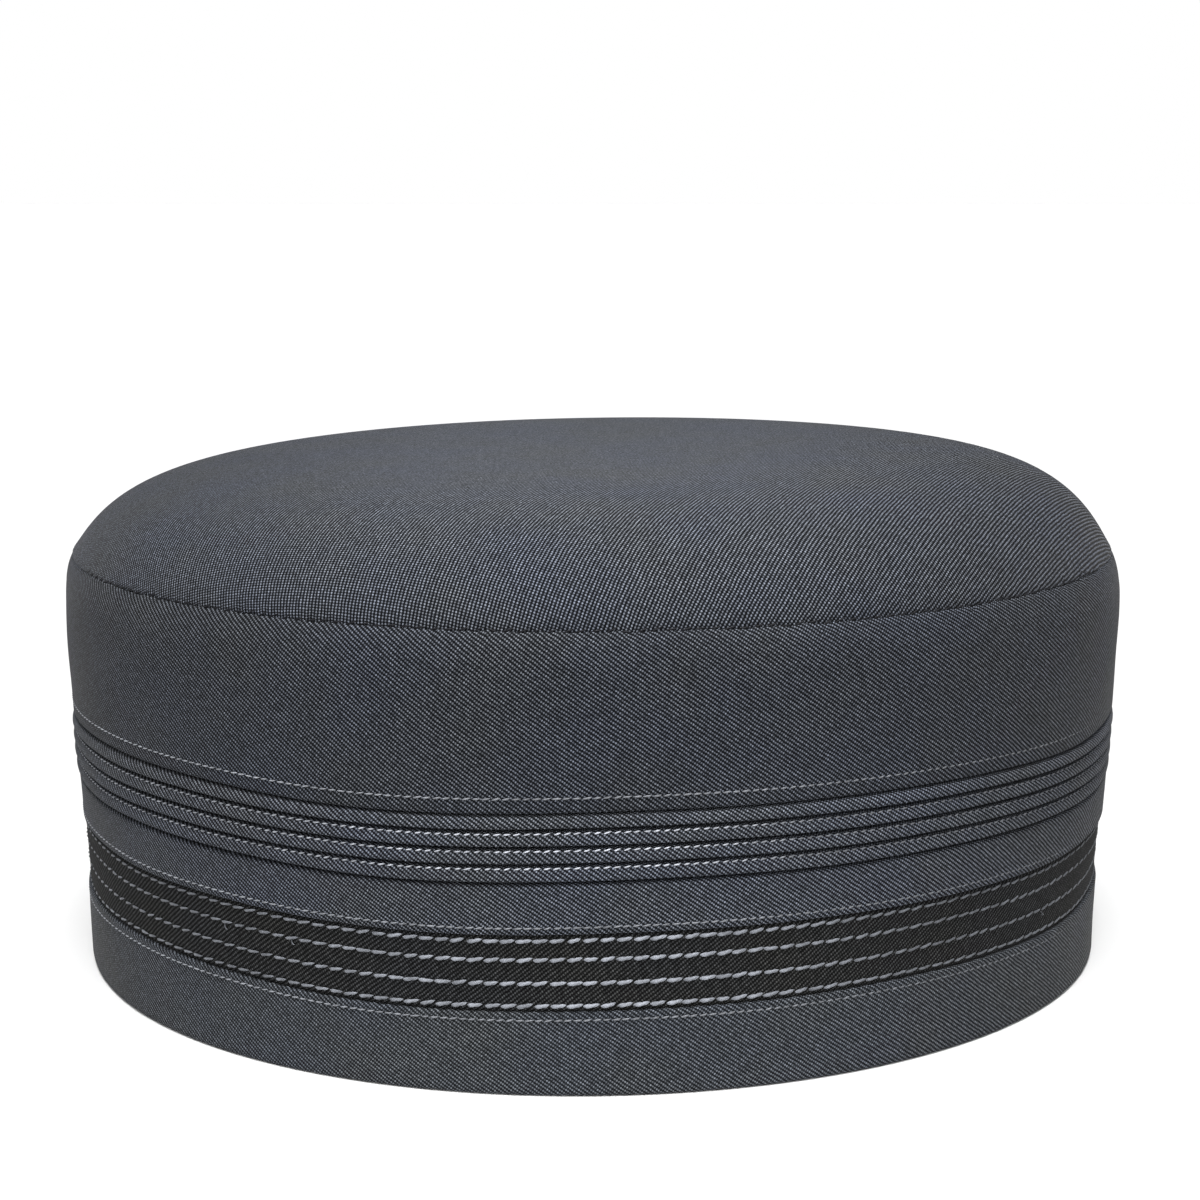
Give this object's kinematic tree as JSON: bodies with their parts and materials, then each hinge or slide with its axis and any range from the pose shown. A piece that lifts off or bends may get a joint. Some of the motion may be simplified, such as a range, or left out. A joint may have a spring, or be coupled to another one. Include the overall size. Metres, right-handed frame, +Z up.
{
  "type": "kufi cap",
  "caption": "Oval cloth cap with a tall stiff side wall, down-facing tucks, an inset black band with thick stitching and a softly domed top; worn on the head.",
  "frame": {"origin": "middle of the rim's footprint, on the plane that the rim stands on", "axes": "+X along the cap's long axis, +Y across it, +Z up towards the crown"},
  "size_m": [0.2012, 0.171, 0.0963],
  "materials": {
    "grey_cloth": "charcoal blue-grey twill, matt",
    "black_cloth": "black twill ribbon, matt",
    "light_thread": "light grey sewing thread, satin"
  },
  "bodies": {
    "root": {"crown_top": "grey_cloth", "upper_band": "grey_cloth", "tuck_band": "grey_cloth", "black_band": "black_cloth", "hem_band": "grey_cloth"}
  },
  "joints": []
}
